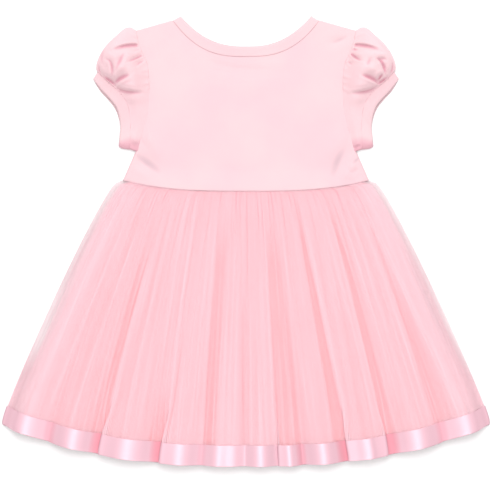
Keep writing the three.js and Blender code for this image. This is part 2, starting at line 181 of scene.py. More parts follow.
# Sleeve: the cuff's seam and open edge, from the top fold (w = 0) to the underarm (w = 1)
CUFF = [
    {"w": 0, "seam_x": 163, "seam_y": 186.5, "edge_x": 168, "edge_y": 178.6},
    {"w": 0.17, "seam_x": 154.5, "seam_y": 177.5, "edge_x": 160.8, "edge_y": 166.2},
    {"w": 0.34, "seam_x": 145.8, "seam_y": 170, "edge_x": 152.2, "edge_y": 156.6},
    {"w": 0.5, "seam_x": 137, "seam_y": 161.5, "edge_x": 144.3, "edge_y": 146.6},
    {"w": 0.65, "seam_x": 130.3, "seam_y": 150, "edge_x": 139.8, "edge_y": 135},
    {"w": 0.78, "seam_x": 127.6, "seam_y": 136, "edge_x": 138.2, "edge_y": 124},
    {"w": 0.9, "seam_x": 127, "seam_y": 118, "edge_x": 139.3, "edge_y": 112.5},
    {"w": 1, "seam_x": 127.6, "seam_y": 103.5, "edge_x": 140, "edge_y": 102.1},
]
UNDERARM_Y = 102
SLEEVE_LENGTH = 128
SLEEVE_DEPTH = 36
SLEEVE_LOWEST = 1.8
CUFF_LENGTH = 110
CUFF_WIDTH = 11
ARMHOLE_GAP = 0.4
CUFF_LIFT = 2
PUFF_OUT = 13.2
PUFF_OUT_WAY = (0.716, 0.698)
PUFF_OUT_FADE = 3
PUFF_HEIGHT = 19
PUFF_SHOULDER = 0.7
PUFF_LOW_SHOULDER = 1.4
PUFF_AT_ARMHOLE = 1.25
SLACK_BELOW = 0.45
CROWN = {"height": 3.2, "k": 0.13, "width": 0.13, "fade": 6}
UNDERARM_SAG = 3.6
UNDERARM_SHADE = 0.8
UNDERARM_LIFT = 2
CORNER_ROUNDING = 2.4

# Skirt: v runs from the waist (0) to the hem (1), and u across it, from -1 to 1
SKIRT_LENGTH = 302
RIBBON_WIDTH = 23
RIBBON_TOP = 1 - RIBBON_WIDTH / SKIRT_LENGTH
STEP_FROM = 0.82
STEP_TO = RIBBON_TOP - 0.01
LINING_END = 0.955
NET_HALF_CUT = 290
RIBBON_PAST_NET = 0.9
LINING_SHARE = 0.93
SIDE_FOLD_FROM = 0.945
SWELL_AT_WAIST = 2.2
SWELL_AT_HEM = 7.5

# Troughs between the swells of the uppermost net, with unlike steepness on their left and right
TROUGHS = [
    {"waist": -0.84, "hem": -0.81, "left": 0.03, "right": 0.03, "depth": 0.8},
    {"waist": -0.58, "hem": -0.618, "left": 0.03, "right": 0.03, "depth": 1.0},
    {"waist": -0.35, "hem": -0.37, "left": 0.03, "right": 0.034, "depth": 1.0},
    {"waist": -0.14, "hem": -0.185, "left": 0.03, "right": 0.03, "depth": 0.7},
    {"waist": 0.0, "hem": -0.005, "left": 0.03, "right": 0.03, "depth": 0.5},
    {"waist": 0.1, "hem": 0.125, "left": 0.02, "right": 0.01, "depth": 0.6},
    {"waist": 0.18, "hem": 0.234, "left": 0.03, "right": 0.022, "depth": 0.85},
    {"waist": 0.34, "hem": 0.405, "left": 0.028, "right": 0.036, "depth": 1.0},
    {"waist": 0.6, "hem": 0.603, "left": 0.028, "right": 0.034, "depth": 1.0},
    {"waist": 0.81, "hem": 0.81, "left": 0.03, "right": 0.03, "depth": 0.8},
]
CREST_ROUNDNESS = 0.36
HEM_ROUNDNESS = 0.47
CREST_LEAN = 0.1
CLOSED_ABOVE = 0.45
CREST_DIPS = [
    {"waist": -0.06, "hem": -0.084, "left": 0.03, "right": 0.03, "depth": 0.12},
    {"waist": 0.5, "hem": 0.54, "left": 0.012, "right": 0.03, "depth": 0.08},
]

# Pleats where the net and ribbon fold over themselves: the cloth on one side lies over the other
PLEATS = [
    {"waist": -0.56, "hem": -0.597, "width": 0.018, "overlap": 0.014, "rise": 0.24, "over": 1},
    {"waist": -0.3, "hem": -0.347, "width": 0.018, "overlap": 0.016, "rise": 0.26, "over": 1},
    {"waist": 0.12, "hem": 0.138, "width": 0.011, "overlap": 0.006, "rise": 0.12, "over": 1},
    {"waist": 0.37, "hem": 0.43, "width": 0.018, "overlap": 0.014, "rise": 0.2, "over": 1},
    {"waist": 0.585, "hem": 0.577, "width": 0.014, "overlap": 0.008, "rise": 0.16, "over": -1},
]
PLEATS_FROM = 0.76
FOLDED_EDGE = 1.5

# Panels of the net that lie in fewer layers (below 0) or more: where their left and right edges
# are at the waist and at the hem, and how soft the edges are
PANELS = [
    {"waist": (-0.845, -0.805), "hem": (-0.885, -0.775), "soft": (0.02, 0.02), "from": 0.05, "more": -0.22},
    {"waist": (-0.775, -0.715), "hem": (-0.82, -0.745), "soft": (0.02, 0.02), "from": 0.25, "more": -0.14},
    {"waist": (-0.61, -0.583), "hem": (-0.658, -0.603), "soft": (0.02, 0.004), "from": 0.15, "more": -0.5},
    {"waist": (-0.545, -0.52), "hem": (-0.545, -0.52), "soft": (0.01, 0.01), "from": 0, "more": -0.18},
    {"waist": (-0.33, -0.33), "hem": (-0.415, -0.348), "soft": (0.01, 0.004), "from": 0.72, "more": -0.56},
    {"waist": (-0.325, -0.19), "hem": (-0.315, -0.182), "soft": (0.01, 0.004), "from": 0.1, "more": 0.12},
    {"waist": (-0.19, -0.115), "hem": (-0.178, -0.128), "soft": (0.004, 0.012), "from": 0.08, "more": -0.45},
    {"waist": (-0.105, -0.045), "hem": (-0.115, -0.04), "soft": (0.008, 0.008), "from": 0.45, "more": 0.15},
    {"waist": (0.02, 0.115), "hem": (0.02, 0.118), "soft": (0.01, 0.004), "from": 0.3, "more": 0.1},
    {"waist": (0.13, 0.21), "hem": (0.132, 0.235), "soft": (0.004, 0.012), "from": 0.12, "more": -0.45},
    {"waist": (0.342, 0.367), "hem": (0.368, 0.427), "soft": (0.01, 0.004), "from": 0.05, "more": -0.53},
    {"waist": (0.5, 0.515), "hem": (0.485, 0.51), "soft": (0.01, 0.01), "from": 0.35, "more": -0.18},
    {"waist": (0.577, 0.6), "hem": (0.578, 0.628), "soft": (0.004, 0.01), "from": 0.05, "more": -0.47},
    {"waist": (0.8, 0.812), "hem": (0.785, 0.87), "soft": (0.006, 0.015), "from": 0.1, "more": -0.43},
]

# Lines along the net where it is folded and lies in more layers, or (below 0) parts
FOLD_LINES = [
    {"waist": -0.88, "hem": -0.912, "from": 0.1, "to": 0.95, "left": 0.008, "right": 0.008, "more": 0.35},
    {"waist": -0.785, "hem": -0.845, "from": 0.15, "to": 0.9, "left": 0.008, "right": 0.008, "more": 0.35},
    {"waist": -0.695, "hem": -0.738, "from": 0.15, "to": 0.95, "left": 0.008, "right": 0.006, "more": 0.38},
    {"waist": -0.576, "hem": -0.592, "from": 0.3, "to": 1.0, "left": 0.003, "right": 0.012, "more": 0.35},
    {"waist": -0.507, "hem": -0.503, "from": 0.1, "to": 0.85, "left": 0.006, "right": 0.008, "more": 0.3},
    {"waist": -0.425, "hem": -0.385, "from": 0.05, "to": 0.95, "left": 0.008, "right": 0.006, "more": 0.35},
    {"waist": -0.365, "hem": -0.33, "from": 0.02, "to": 1.0, "left": 0.005, "right": 0.012, "more": 0.45},
    {"waist": -0.31, "hem": -0.322, "from": 0.55, "to": 1.0, "left": 0.004, "right": 0.004, "more": -0.4},
    {"waist": -0.237, "hem": -0.235, "from": 0.1, "to": 0.9, "left": 0.005, "right": 0.006, "more": 0.25},
    {"waist": -0.197, "hem": -0.187, "from": 0.1, "to": 0.95, "left": 0.01, "right": 0.003, "more": 0.3},
    {"waist": -0.1, "hem": -0.107, "from": 0.4, "to": 0.95, "left": 0.004, "right": 0.005, "more": 0.3},
    {"waist": -0.072, "hem": -0.077, "from": 0.2, "to": 0.95, "left": 0.005, "right": 0.004, "more": 0.3},
    {"waist": -0.045, "hem": -0.05, "from": 0.3, "to": 0.95, "left": 0.004, "right": 0.005, "more": 0.25},
    {"waist": -0.018, "hem": -0.016, "from": 0.4, "to": 0.95, "left": 0.006, "right": 0.006, "more": -0.3},
    {"waist": 0.02, "hem": 0.022, "from": 0.08, "to": 0.95, "left": 0.004, "right": 0.006, "more": 0.35},
    {"waist": 0.05, "hem": 0.06, "from": 0.4, "to": 0.95, "left": 0.004, "right": 0.004, "more": 0.25},
    {"waist": 0.088, "hem": 0.09, "from": 0.3, "to": 0.95, "left": 0.004, "right": 0.005, "more": 0.3},
    {"waist": 0.12, "hem": 0.12, "from": 0.1, "to": 1.0, "left": 0.008, "right": 0.003, "more": 0.38},
    {"waist": 0.225, "hem": 0.282, "from": 0.1, "to": 0.85, "left": 0.006, "right": 0.006, "more": 0.25},
    {"waist": 0.382, "hem": 0.438, "from": 0.04, "to": 1.0, "left": 0.003, "right": 0.014, "more": 0.42},
    {"waist": 0.53, "hem": 0.556, "from": 0.05, "to": 0.9, "left": 0.01, "right": 0.006, "more": 0.25},
    {"waist": 0.57, "hem": 0.57, "from": 0.05, "to": 1.0, "left": 0.008, "right": 0.003, "more": 0.28},
    {"waist": 0.66, "hem": 0.665, "from": 0.2, "to": 0.8, "left": 0.006, "right": 0.006, "more": 0.25},
    {"waist": 0.7, "hem": 0.705, "from": 0.1, "to": 0.95, "left": 0.005, "right": 0.008, "more": 0.25},
    {"waist": 0.745, "hem": 0.742, "from": 0.2, "to": 0.95, "left": 0.005, "right": 0.006, "more": 0.25},
    {"waist": 0.775, "hem": 0.774, "from": 0.1, "to": 0.95, "left": 0.012, "right": 0.003, "more": 0.32},
    {"waist": 0.808, "hem": 0.9, "from": 0.12, "to": 1.0, "left": 0.004, "right": 0.005, "more": 0.42},
    {"waist": 0.82, "hem": 0.916, "from": 0.15, "to": 1.0, "left": 0.004, "right": 0.01, "more": 0.38},
]
NET_LAYERS = 0.85
LAYERS_RELIEF = 0.3
SMOOTH_FROM = 0.84

# Fine gathers under the waist seam
GATHERS = 190
GATHER_DEPTH = 0.9
GATHER_REACHES = [0.05, 0.06, 0.08, 0.1, 0.12, 0.16, 0.28, 0.6]
GATHER_SEED = 11
PINCHED_THINNER = 0.18

# Colours of the cloths, light and then dark. The jersey's and the lining's darker tones lie at random.
# The net's darker pink is painted shade in the valleys of its gathers, and the satin's is painted shade in
# its troughs.
BODICE_PINKS = ((0.71, 0.493, 0.518), (0.69, 0.468, 0.506))
SLEEVE_PINKS = ((0.71, 0.487, 0.514), (0.69, 0.466, 0.5))
BAND_PINKS = ((0.71, 0.487, 0.512), (0.69, 0.466, 0.497))
NET_PINK_AND_GATHER_SHADE = ((0.87, 0.575, 0.632), (0.76, 0.35, 0.42))
LINING_PINKS = ((0.89, 0.395, 0.42), (0.87, 0.375, 0.4))
SATIN_PINK_AND_TROUGH_SHADE = ((0.68, 0.41, 0.475), (0.7, 0.27, 0.33))

# Painted shade for jersey deep in a fold: darker, and pinker where light from pink cloth falls on pink cloth
SHADE_IN_FLAT_FOLDS = (0.52, 0.37, 0.41)
SHADE_IN_BUNCHED_FOLDS = (0.6, 0.3, 0.36)

# Stitches of the jersey and holes of the net, in metres
STITCH_WIDTH = 0.0011
STITCH_HEIGHT = 0.0008
NET_CELL = 0.001

# The photograph's frame: 500 pixels across, 1.1 mm each at the table
FRAME_WIDTH = 550
FRAME_CENTRE = (4.4, -9.35)
LENS = 135
SENSOR = 36

# Studio, in metres and watts: a soft lamp beyond the neck, and a narrow strip overhead
KEY_LIGHT = {"place": (0, 1.6, 2.1), "size": (1.6, 1.8), "power": 35}
OVERHEAD_LIGHT = {"place": (0, 0.1, 2.6), "size": (0.2, 2.0), "power": 16}
WORLD_LIGHT = 0.99
TABLE_SIZE = 6
TABLE_WHITES = ((0.82, 0.82, 0.82), (0.84, 0.84, 0.84))


def lerp(a, b, t):
    return a + (b - a) * t


def smoothstep(low, high, at):
    t = np.clip((at - low) / (high - low), 0, 1)
    return t * t * (3 - 2 * t)


def read(table, by, name, at):
    """A column of a table, read on a smooth curve where its rising column `by` is `at`."""
    x = np.array([row[by] for row in table], float)
    y = np.array([row[name] for row in table], float)
    last = len(x) - 1
    before = np.maximum(np.arange(last + 1) - 1, 0)
    after = np.minimum(np.arange(last + 1) + 1, last)
    slope = (y[after] - y[before]) / (x[after] - x[before])
    i = np.clip(np.searchsorted(x, at, side="right") - 1, 0, last - 1)
    span = x[i + 1] - x[i]
    t = np.clip((at - x[i]) / span, 0, 1)
    into, out, rise = slope[i] * span, slope[i + 1] * span, y[i + 1] - y[i]
    return y[i] + t * (into + t * (3 * rise - 2 * into - out + t * (into + out - 2 * rise)))


def sagging(curve, x):
    """A curve that is lowest at the centre and rises to each side, as y above the given x."""
    return curve["centre_y"] + curve["rise"] * (np.abs(x) / curve["half"]) ** curve["power"]


def rounded(distance, radius):
    """How far cloth has come up, 0 to 1, at a distance from an edge that it is rolled over."""
    t = 1 - np.clip(distance / radius, 0, 1)
    return np.sqrt(1 - t * t)


def dipped(distance, dip, radius):
    """How far cloth has come up at a distance from a seam, where it is lower by a share of its height."""
    return lerp(1 - dip, 1, rounded(distance, radius))


def rolled_ends(share, length, first=END_ROLL, last=END_ROLL):
    """How far cloth has come up between the two rolled ends of a length."""
    return rounded(share * length, first) * rounded((1 - share) * length, last)


def distance_to_path(x, y, path):
    """The distance to a line through some points, whether that is on the line's left, and the
    share of the way along it."""
    nearest = np.full(x.shape, np.inf)
    share = np.zeros(x.shape)
    is_left = np.zeros(x.shape, bool)
    lengths = [math.dist(a, b) for a, b in zip(path, path[1:])]
    done = 0
    for (ax, ay), (bx, by), length in zip(path, path[1:], lengths):
        t = np.clip(((x - ax) * (bx - ax) + (y - ay) * (by - ay)) / length**2, 0, 1)
        distance = np.hypot(x - lerp(ax, bx, t), y - lerp(ay, by, t))
        closer = distance < nearest
        nearest = np.where(closer, distance, nearest)
        share = np.where(closer, (done + t * length) / sum(lengths), share)
        is_left = np.where(closer, (bx - ax) * (y - ay) > (by - ay) * (x - ax), is_left)
        done += length
    return nearest, is_left, share


def creased(x, y, creases, deepest):
    """Height that creases add: troughs or ridges with a width of their own on each side, and a
    low shoulder beyond it. Also the share of painted shade in the troughs, from 0 to 1 at the deepest."""
    height = np.zeros(x.shape)
    depth = np.zeros(x.shape)
    for crease in creases:
        distance, is_left, share = distance_to_path(x, y, smooth_path(crease["path"]))
        t = distance / np.where(is_left, crease["left"], crease["right"])
        taper = np.sin(math.pi * np.clip(share * 0.86 + 0.1, 0, 1)) ** 0.8
        shoulder = CREASE_SHOULDER["height"] * np.exp(-((t - CREASE_SHOULDER["at"]) ** 2))
        height += crease["height"] * taper * (np.exp(-(t**CREASE_SHARPNESS)) - shoulder)
        depth = np.maximum(depth, -crease["height"] * taper * np.exp(-FOLD_NARROWNESS * t * t))
    return height, np.clip((depth - FOLD_START) / (deepest - FOLD_START), 0, 1)


def smooth_path(path, steps=8):
    """Points along a curve from the first point, past the middle one, to the last."""
    (ax, ay), (mx, my), (bx, by) = path
    cx, cy = 2 * mx - (ax + bx) / 2, 2 * my - (ay + by) / 2
    curve = []
    for i in range(steps + 1):
        t = i / steps
        a, c, b = (1 - t) ** 2, 2 * t * (1 - t), t * t
        curve.append((a * ax + c * cx + b * bx, a * ay + c * cy + b * by))
    return curve


def undulation(x, y, size, seed):
    """Slow waves of no fixed direction, about -1 to 1, whose length is about size."""
    random = np.random.default_rng(seed)
    height = np.zeros(np.broadcast(x, y).shape)
    for _ in range(7):
        angle, phase = random.uniform(0, 2 * math.pi, 2)
        length = size * random.uniform(0.6, 1.7)
        along = x * math.cos(angle) + y * math.sin(angle)
        height += np.sin(2 * math.pi * along / length + phase)
    return height / 3.5


def normals_of(grid, is_tube):
    """Unit normals at the points of a grid whose columns close on themselves in a tube."""
    if is_tube:
        padded = np.concatenate([grid[:, -2:], grid, grid[:, :2]], axis=1)
        along = np.gradient(padded, axis=1)[:, 2:-2]
    else:
        along = np.gradient(grid, axis=1)
    across = np.gradient(grid, axis=0)
    normal = np.cross(along, across)
    length = np.linalg.norm(normal, axis=2, keepdims=True)
    return normal / np.maximum(length, 1e-9)


def outward(grid, is_tube):
    """Normals that point up from a panel, or out of a tube."""
    normal = normals_of(grid, is_tube)
    middle = grid.mean(axis=1, keepdims=True)
    outer_way = normal * (grid - middle) if is_tube else normal[..., 2]
    return normal if outer_way.sum() > 0 else -normal


def seam_shade(distance):
    """The share of painted shade, a darker fold colour, beside a seam, at a distance from it."""
    return SEAM_SHADE * (1 - smoothstep(0, SEAM_SHADE_WIDTH, distance))


def cloth(name, grid, thickness, cut, is_tube=False, attributes=None):
    """A closed thin shell whose outer face is a grid of points in millimetres. cut gives each
    point's place on the flat cloth in millimetres, which the weave follows."""
    rows, columns = grid.shape[:2]
    inner = grid - outward(grid, is_tube) * thickness
    points = np.concatenate([grid.reshape(-1, 3), inner.reshape(-1, 3)]) * MM
    index = np.arange(2 * rows * columns).reshape(2, rows, columns)
    if is_tube:
        index = np.concatenate([index, index[:, :, :1]], axis=2)
    top, under = index
    quads = [
        (top[:-1, :-1], top[1:, :-1], top[1:, 1:], top[:-1, 1:]),
        (under[:-1, 1:], under[1:, 1:], under[1:, :-1], under[:-1, :-1]),
        (top[0, 1:], under[0, 1:], under[0, :-1], top[0, :-1]),
        (top[-1, :-1], under[-1, :-1], under[-1, 1:], top[-1, 1:]),
    ]
    if not is_tube:
        quads += [
            (top[:-1, 0], under[:-1, 0], under[1:, 0], top[1:, 0]),
            (top[1:, -1], under[1:, -1], under[:-1, -1], top[:-1, -1]),
        ]
    faces = np.concatenate([np.stack(q, axis=-1).reshape(-1, 4) for q in quads])
    if signed_volume(points, faces) < 0:
        faces = faces[:, ::-1]
    mesh = bpy.data.meshes.new(name)
    mesh.from_pydata(points.tolist(), [], faces.tolist())
    mesh.polygons.foreach_set("use_smooth", np.ones(len(faces), bool))
    corners = np.empty(len(mesh.loops), np.int32)
    mesh.loops.foreach_get("vertex_index", corners)
    flat = np.tile(cut.reshape(-1, 2), (2, 1)) * MM
    layer = mesh.uv_layers.new(name="cut")
    layer.data.foreach_set("uv", flat[corners].astype(np.float32).ravel())
    for key, values in (attributes or {}).items():
        attribute = mesh.attributes.new(key, "FLOAT", "POINT")
        attribute.data.foreach_set("value", np.tile(values.ravel(), 2).astype(np.float32))
    mesh.update()
    piece = bpy.data.objects.new(name, mesh)
    bpy.context.scene.collection.objects.link(piece)
    return piece


def signed_volume(points, faces):
    a, b, c, d = (points[faces[:, i]] for i in range(4))
    first = np.einsum("ij,ij->i", a, np.cross(b, c))
    second = np.einsum("ij,ij->i", a, np.cross(c, d))
    return (first + second).sum()


def stack(*parts):
    return np.stack(np.broadcast_arrays(*parts), axis=-1).astype(float)


def eased(count, low=0.0, high=1.0):
    """Numbers from low to high that are closer together at both ends."""
    t = np.linspace(0, 1, count)
    return lerp(low, high, 0.6 * t + 0.4 * (1 - np.cos(math.pi * t)) / 2)


# Bodice


def bodice_half(y):
    return read(BODICE_SIDE, "y", "half", np.minimum(y, SHOULDER_TIP[1]))


def neck(curve, drop):
    return {**curve, "centre_y": curve["centre_y"] - drop, "rise": curve["rise"] + drop}


def bodice_plan(u, v, neck_drop):
    seam = neck(NECK_SEAM, neck_drop)
    reach = np.abs(u) * SHOULDER_TIP[0]
    in_neck = sagging(seam, np.minimum(reach, seam["half"]))
    shoulder_share = np.clip((reach - seam["half"]) / (SHOULDER_TIP[0] - seam["half"]), 0, 1)
    top = lerp(in_neck, SHOULDER_TIP[1], shoulder_share) - GAP
    y_at_edge = lerp(BODICE_SIDE[0]["y"], SHOULDER_TIP[1], v)
    return u * bodice_half(y_at_edge), lerp(sagging(WAIST, u * WAIST["half"]), top, v)


def make_bodice_back():
    u, v = np.meshgrid(eased(190, -1, 1), eased(150))
    x, y = bodice_plan(u, v, 0)
    to_waist = y - sagging(WAIST, x)
    waist_lift = WAIST_LIFT * (1 - smoothstep(0, WAIST_LIFT_REACH, to_waist))
    waist_lift *= 1 - smoothstep(0.9, 1, np.abs(u))
    inside = (1 - smoothstep(0.93, 1, np.abs(u))) * (1 - smoothstep(0.9, 1, v))
    creases, folds = creased(x, y, BODICE_CREASES, FLAT_FOLD_DEPTH)
    relief = waist_lift + creases + 0.3 * undulation(x, y, 70, 3)
    to_side = (1 - np.abs(u)) * bodice_half(y)
    to_top = (1 - v) * (SHOULDER_TIP[1] - WAIST["centre_y"])
    at_armhole = smoothstep(UNDERARM_Y - 3, UNDERARM_Y + 3, y)
    at_seam = dipped(to_side, ARMHOLE_DIP, ARMHOLE_ROLL)
    side = lerp(rounded(to_side, SIDE_ROLL), at_seam, at_armhole)
    seams = dipped(to_top, SEAM_DIP, SEAM_ROLL) * dipped(to_waist, WAIST_DIP, WAIST_ROLL)
    z = lerp(SEAM_LEVEL, BACK_TOP, side * seams) + inside * relief
    # Painted shade: the fold attribute darkens the colour in the creases and beside the top edge and waist
    # seam
    folds = np.maximum(folds, seam_shade(np.minimum(to_top, to_waist)))
    shade = {"fold": folds}
    return cloth("bodice_back_panel", stack(x, y, z), JERSEY_SHELL, stack(x, y), attributes=shade)


def make_bodice_front():
    u, v = np.meshgrid(eased(120, -1, 1), eased(90))
    x, y = bodice_plan(u, v, FRONT_NECK_DROP)
    to_side = (1 - np.abs(u)) * bodice_half(y)
    z = lerp(JERSEY, ABOVE_TABLE, rounded(to_side, SIDE_ROLL)) + JERSEY_SHELL
    return cloth("bodice_front_panel", stack(x, y, z), JERSEY_SHELL, stack(x, y))


def ring(roof, floor):
    """A tube's grid: each row goes along the roof and comes back along the floor."""
    return np.concatenate([roof, floor[:, ::-1]], axis=1)


def make_neck_binding():
    t, share = np.meshgrid(eased(150, -1, 1), np.linspace(0, 1, 14))

    def line(drop, z):
        seam_x, edge_x = t * NECK_SEAM["half"], t * NECK_EDGE["half"]
        seam_y = sagging(neck(NECK_SEAM, drop), seam_x) - TUCK
        edge_y = sagging(neck(NECK_EDGE, drop), edge_x)
        return stack(lerp(seam_x, edge_x, share), lerp(seam_y, edge_y, share), z)

    width = BINDING_WIDTH
    ends = rounded((1 - np.abs(t)) * NECK_SEAM["half"], 1.6)
    across = dipped(share * width, SEAM_DIP, SEAM_ROLL) * rounded((1 - share) * width, BINDING_ROLL)
    ripple = 0.12 * undulation(t * 80, share * 10, 16, 5)
    top = BACK_TOP + 0.5 + ripple
    roof = line(0, lerp(JERSEY + 0.3, top, across * ends))
    floor = line(FRONT_NECK_DROP, lerp(JERSEY, ABOVE_TABLE, across * ends))
    along = t * 92
    cut = ring(stack(along, share * width), stack(along + 200, share * width))
    # Painted shade beside the binding's seam
    shade = {"fold": ring(seam_shade(share * width), np.zeros(share.shape))}
    grid = ring(roof, floor)
    return cloth("neck_binding_band", grid, JERSEY_SHELL, cut, is_tube=True, attributes=shade)


# Sleeves


def sleeve_plan(k, w):
    armhole_y = lerp(SHOULDER_TIP[1], UNDERARM_Y, w)
    armhole_x = bodice_half(armhole_y) + ARMHOLE_GAP - 2 * TUCK
    bulge = PUFF_OUT * np.sqrt(np.maximum(np.sin(math.pi * k), 0)) * (1 - w) ** PUFF_OUT_FADE
    x = lerp(armhole_x, read(CUFF, "w", "seam_x", w), k) + bulge * PUFF_OUT_WAY[0]
    y = lerp(armhole_y, read(CUFF, "w", "seam_y", w), k) + bulge * PUFF_OUT_WAY[1]
    crown = np.exp(-(((k - CROWN["k"]) / CROWN["width"]) ** 2)) * smoothstep(0, 0.05, k)
    y += CROWN["height"] * crown * (1 - w) ** CROWN["fade"]
    return x, y - underarm_sag(w) * (1 - 0.3 * k)


def underarm_sag(w):
    return UNDERARM_SAG * smoothstep(0.93, 1, w)


def underarm_shade(w):
    """The share of painted shade towards the underarm, where the sleeve is bunched."""
    return UNDERARM_SHADE * smoothstep(0.9, 0.98, w)


def underarm_lift(w):
    """How much higher the sleeve and its cuff lie at the underarm, where they are bunched."""
    return UNDERARM_LIFT * smoothstep(0.75, 0.97, w)


def cuff_lift(w):
    return CUFF_LIFT * np.sqrt(np.maximum(np.sin(math.pi * w), 0))


def sleeve_gathers(k, w, seed):
    """Small ridges that start at the armhole and cuff seams and run a little way into the sleeve."""
    random = np.random.default_rng(seed)
    height = np.zeros(k.shape)
    for end in (0, 1):
        for i in range(9):
            centre = (i + random.uniform(0.2, 0.8)) * 0.056 + 0.02
            reach = random.uniform(0.12, 0.4)
            size = random.uniform(0.5, 1.3)
            away = np.abs(k - end)
            drift = centre + random.uniform(-0.12, 0.12) * away
            fade = np.clip(1 - away / reach, 0, 1) ** 1.5 * smoothstep(0, 0.03, away + 0.012)
            height += size * fade * np.exp(-(((w - drift) / 0.016) ** 2))
    return height


def make_sleeve(name, side, creases, seed):
    w, k = np.meshgrid(eased(176), eased(88))
    x, y = sleeve_plan(k, w)
    fullness = np.maximum(np.sin(math.pi * np.sqrt(w)), 0) * np.sqrt(1 - w)
    fullness *= lerp(1, SLACK_BELOW, smoothstep(0.42, 0.7, w))
    at_cuff = lerp(PUFF_SHOULDER, PUFF_LOW_SHOULDER, smoothstep(0.3, 0.5, w))
    shoulder = lerp(PUFF_AT_ARMHOLE, at_cuff, smoothstep(0.15, 0.6, k))
    puff = PUFF_HEIGHT * fullness * np.maximum(np.sin(math.pi * k), 0) ** shoulder
    from_cuff = lerp(0.04, 0.7, smoothstep(0.85, 0.95, w))
    seams = smoothstep(0, 0.05, k) * smoothstep(0, from_cuff, 1 - k)
    folds, depth = creased(side * x, y, creases, BUNCHED_FOLD_DEPTH)
    relief = (folds + 0.35 * undulation(x, y, 22, seed)) * seams
    inside = smoothstep(0, 0.06, w) * smoothstep(0, 0.05, 1 - w)
    lift = k * cuff_lift(w) + smoothstep(0, 0.6, k) * underarm_lift(w)
    height = puff + lift + inside * (relief + sleeve_gathers(k, w, seed))
    ends = rolled_ends(w, SLEEVE_LENGTH)
    seam_dip = rolled_ends(k, SLEEVE_DEPTH, last=CUFF_SEAM_ROLL)
    top = BACK_TOP + height
    raised = lerp(SEAM_LEVEL, top, ends * lerp(1 - ARMHOLE_DIP, 1, seam_dip))
    roof = stack(side * x, y, np.maximum(raised, SLEEVE_LOWEST))
    w2, k2 = np.meshgrid(eased(56), k[:, 0])
    x2, y2 = sleeve_plan(k2, w2)
    floor = stack(side * x2, y2, lerp(JERSEY, ABOVE_TABLE, rolled_ends(w2, SLEEVE_LENGTH)))
    cut = ring(stack(x, y), stack(x2 + 300, y2))
    # Painted shade in the creases and at the bunched underarm
    shade = {"fold": ring(np.maximum(depth * seams, underarm_shade(w)), np.zeros(w2.shape))}
    grid = ring(roof, floor)
    return cloth(f"sleeve_{name}_puff", grid, JERSEY_SHELL, cut, is_tube=True, attributes=shade)


def make_cuff(name, side, seed):
    width = CUFF_WIDTH
    start = -TUCK / width
    w, share = np.meshgrid(eased(130), np.linspace(start, 1, 14))

    def plan(w, share):
        x = lerp(read(CUFF, "w", "seam_x", w), read(CUFF, "w", "edge_x", w), share)
        y = lerp(read(CUFF, "w", "seam_y", w), read(CUFF, "w", "edge_y", w), share)
        corner = CORNER_ROUNDING * np.clip(share, 0, 1) ** 5 * smoothstep(0.9, 1, w)
        return side * x, y + corner - 0.7 * underarm_sag(w) * (1 - share)

    length = CUFF_LENGTH
    across = dipped(share * width, ARMHOLE_DIP, SEAM_ROLL) * rounded((1 - share) * width, SIDE_ROLL)
    ends = rolled_ends(w, length, last=CUFF_END_ROLL)
    ripple = 0.14 * undulation(w * length, share * width, 14, seed)
    fullness = lerp(0.15, 0.4, smoothstep(0, 0.4, share))
    top = BACK_TOP + fullness + cuff_lift(w) * (1 + 0.5 * share) + ripple + underarm_lift(w)
    mouth = 0.12 * smoothstep(0.02, 0.15, w) * (1 - smoothstep(0.5, 0.8, w))
    x, y = plan(w, share * (1 - mouth))
    roof = stack(x, y, lerp(JERSEY + 0.6 + 0.7 * cuff_lift(w), top, across * ends))
    w2, share2 = np.meshgrid(eased(50), share[:, 0])
    x2, y2 = plan(w2, share2)
    floor = stack(x2, y2, lerp(JERSEY, ABOVE_TABLE, rolled_ends(w2, length)))
    cut = ring(stack(w * length, share * width), stack(w2 * length + 200, share2 * width))
    # Painted shade at the bunched underarm end
    shade = {"fold": ring(underarm_shade(w), np.zeros(w2.shape))}
    return cloth(f"cuff_{name}_band", ring(roof, floor), JERSEY_SHELL, cut, is_tube=True, attributes=shade)


# Skirt


def skirt_plan(u, v):
    hip = HIP_BULGE * v**HIP_BULGE_START * np.sqrt(1 - v)
    waist_y = sagging(WAIST, np.clip(u, -1, 1) * WAIST["half"]) + TUCK
    x = lerp(WAIST["half"] * u, HEM["half"] * u, v) + hip * u
    return x, lerp(waist_y, sagging(HEM, u * HEM["half"]), v)


def ribbon_step(v):
    return (RIBBON + GAP) * smoothstep(STEP_FROM, STEP_TO, v)


def two_sided(off, left, right):
    """A bell that is 1 where off is 0, with a half width of its own on each side."""
    t = off / np.where(off < 0, left, right)
    return np.exp(-t * t)


